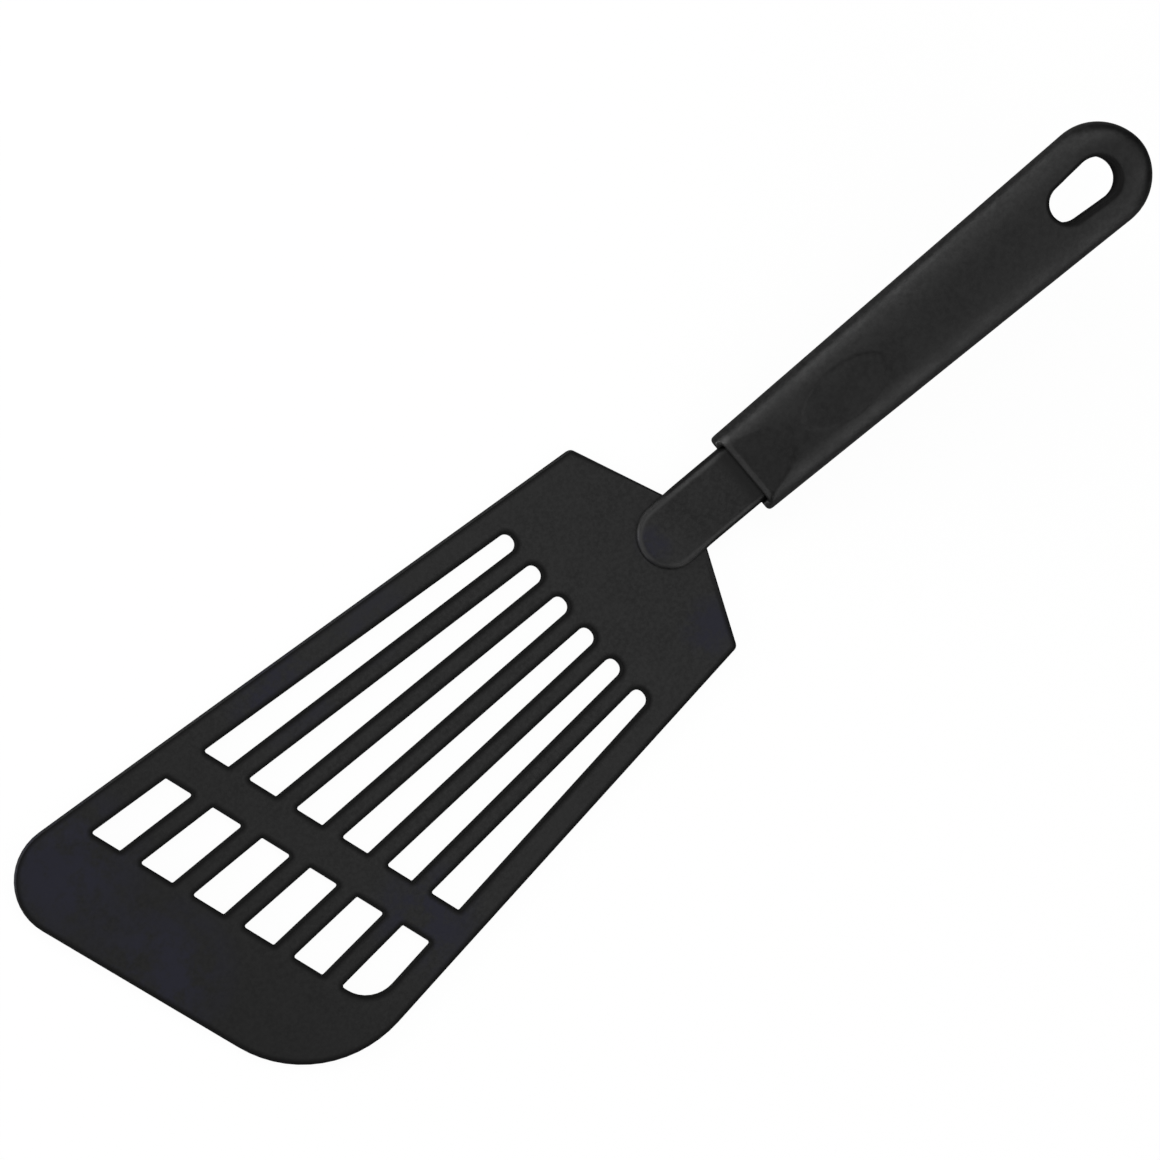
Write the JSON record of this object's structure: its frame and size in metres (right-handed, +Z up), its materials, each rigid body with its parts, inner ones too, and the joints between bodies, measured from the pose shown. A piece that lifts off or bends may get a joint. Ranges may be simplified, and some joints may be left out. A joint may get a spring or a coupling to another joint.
{
  "type": "slotted turner",
  "caption": "Slotted kitchen turner with a slanted, fanned-slot nylon blade, a stiff neck lapped onto it and a rounded handle with a hang hole.",
  "frame": {"origin": "on the blade's flat underside, on the middle line, level with the two shoulders at the blade's handle end", "axes": "+X along the middle line towards the handle's tip, the blade's front edge towards -X, +Y towards the leading front corner, +Z up out of the blade's top face"},
  "size_m": [0.3244, 0.0917, 0.0432],
  "materials": {
    "blade_nylon": "fine matt moulded nylon, black",
    "neck_nylon": "matt moulded glass-filled nylon, black",
    "grip_plastic": "satin moulded plastic, black, soft highlights along the grip"
  },
  "bodies": {
    "root": {"blade": "blade_nylon", "neck": "neck_nylon", "handle": "grip_plastic"}
  },
  "joints": []
}
